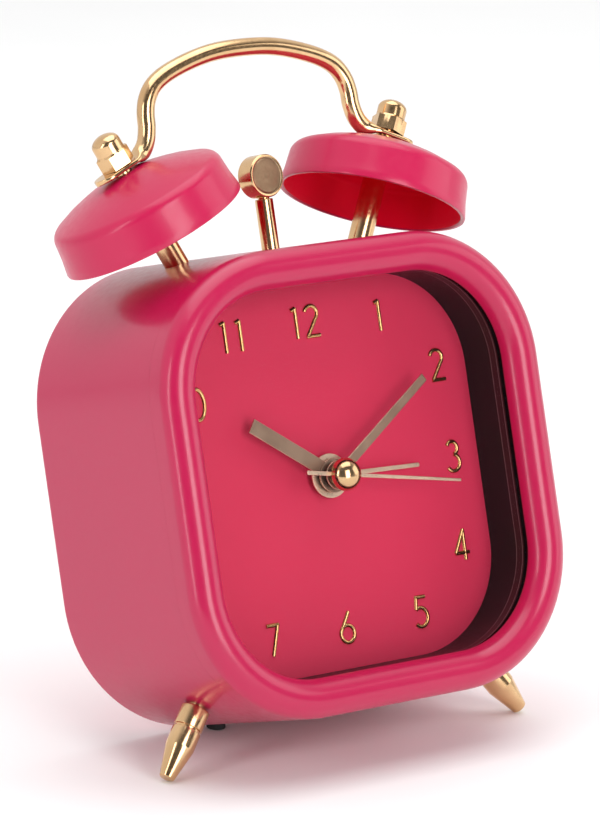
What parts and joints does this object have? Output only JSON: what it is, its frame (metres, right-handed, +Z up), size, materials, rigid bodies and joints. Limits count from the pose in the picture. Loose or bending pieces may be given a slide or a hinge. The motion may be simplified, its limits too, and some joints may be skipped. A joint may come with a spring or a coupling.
{
  "type": "alarm clock",
  "caption": "Small bedside alarm clock with a rounded-square case leaning back on splayed feet, two bells with a hammer between them and a carrying handle on top.",
  "frame": {"origin": "bottom centre of the clock's box, on the surface it stands on", "axes": "+Z up; -Y is the side the dial faces, the dial leaning back 16.5 degrees; +X to the viewer's right"},
  "size_m": [0.0922, 0.0704, 0.1353],
  "materials": {
    "pink_paint": "satin raspberry pink paint with a soft gloss",
    "pink_plastic": "satin raspberry pink moulding",
    "dial_print": "matt raspberry print with debossed gold numerals",
    "lens": "clear flat lens",
    "black_ring": "near-black, half gloss",
    "polished_gold": "polished brass-coloured plating",
    "brushed_gold": "satin brushed champagne gold",
    "pad_rubber": "matt black",
    "black_plastic": "fine moulded texture",
    "circuit_board": "green solder mask",
    "movement_plastic": "natural white moulding",
    "plain_steel": "zinc-plated steel",
    "copper_wire": "enamelled copper winding",
    "battery_wrap": "plain printed sleeve, no lettering"
  },
  "bodies": {
    "clock_body": {"case_shell": "pink_paint", "front_bezel": "pink_paint", "bell_left": "pink_paint", "bell_right": "pink_paint", "rear_cover": "pink_plastic", "dial_plate": "dial_print", "lens": "lens", "spacer_ring": "black_ring", "bell_post_left": "polished_gold", "bell_post_right": "polished_gold", "acorn_nut_left": "polished_gold", "acorn_nut_right": "polished_gold", "carry_handle": "polished_gold", "foot_left": "polished_gold", "foot_right": "polished_gold", "rear_pad_left": "pad_rubber", "rear_pad_right": "pad_rubber", "circuit_board": "circuit_board", "movement_front": "movement_plastic", "movement_rear": "movement_plastic", "battery_tray": "movement_plastic", "post_nut_left": "plain_steel", "post_nut_right": "plain_steel", "foot_nut_left": "plain_steel", "foot_nut_right": "plain_steel", "hammer_pin": "plain_steel", "hammer_bracket": "plain_steel", "bell_motor": "plain_steel", "stator": "plain_steel", "cover_screw_1": "plain_steel", "cover_screw_2": "plain_steel", "cover_screw_3": "plain_steel", "cover_screw_4": "plain_steel", "contact_plus": "plain_steel", "contact_minus": "plain_steel", "drive_coil": "copper_wire", "battery_cell": "battery_wrap"},
    "hammer": {"hammer_arm": "polished_gold", "hammer_head": "polished_gold"},
    "motor_cam": {"motor_cam": "movement_plastic"},
    "alarm_hand": {"alarm_hand": "brushed_gold"},
    "hour_hand": {"hour_hand": "brushed_gold"},
    "minute_hand": {"minute_hand": "brushed_gold"},
    "second_hand": {"second_hand": "brushed_gold", "centre_cap": "polished_gold"},
    "time_setting": {"setting_wheel": "movement_plastic", "time_set_knob": "black_plastic"},
    "alarm_setting": {"alarm_wheel": "movement_plastic", "alarm_set_knob": "black_plastic"},
    "battery_door": {"battery_door": "pink_plastic"},
    "alarm_switch": {"alarm_switch": "black_plastic"}
  },
  "joints": [
    {"name": "time_setting_turn", "type": "hinge", "parent": "clock_body", "child": "time_setting", "pos_m": [-0.01039, 0.00147, 0.05695], "axis": [0, 0.9588, -0.284], "continuous": true},
    {"name": "minute_hand_turn", "type": "hinge", "parent": "clock_body", "child": "minute_hand", "pos_m": [0, -0.00024, 0.0512], "axis": [0, 0.9588, -0.284], "continuous": true},
    {"name": "hour_hand_turn", "type": "hinge", "parent": "clock_body", "child": "hour_hand", "pos_m": [0, -0.00024, 0.0512], "axis": [0, 0.9588, -0.284], "continuous": true},
    {"name": "second_hand_turn", "type": "hinge", "parent": "clock_body", "child": "second_hand", "pos_m": [0, -0.00024, 0.0512], "axis": [0, 0.9588, -0.284], "continuous": true},
    {"name": "alarm_setting_turn", "type": "hinge", "parent": "clock_body", "child": "alarm_setting", "pos_m": [0.01299, 0.00189, 0.05839], "axis": [0, 0.9588, -0.284], "continuous": true},
    {"name": "alarm_hand_turn", "type": "hinge", "parent": "clock_body", "child": "alarm_hand", "pos_m": [0, -0.00024, 0.0512], "axis": [0, 0.9588, -0.284], "continuous": true},
    {"name": "hammer_swing", "type": "hinge", "parent": "clock_body", "child": "hammer", "pos_m": [0, 0.00914, 0.08075], "axis": [0, 0.9588, -0.284], "range_deg": [-8, 8], "stiffness_Nm_per_rad": 0.02},
    {"name": "motor_cam_turn", "type": "hinge", "parent": "clock_body", "child": "motor_cam", "pos_m": [0, 0.01283, 0.06714], "axis": [0, 0.9588, -0.284], "continuous": true},
    {"name": "battery_door_pull", "type": "slide", "parent": "clock_body", "child": "battery_door", "axis": [0, 0.9588, -0.284], "range_m": [0, 0.02]},
    {"name": "alarm_switch_slide", "type": "slide", "parent": "clock_body", "child": "alarm_switch", "axis": [1, 0, 0], "range_m": [0, 0.004]}
  ],
  "couplings": [
    {"joint": "minute_hand_turn", "follows": "time_setting_turn", "ratio": -3},
    {"joint": "hour_hand_turn", "follows": "time_setting_turn", "ratio": -0.25},
    {"joint": "alarm_hand_turn", "follows": "alarm_setting_turn", "ratio": -0.5}
  ]
}
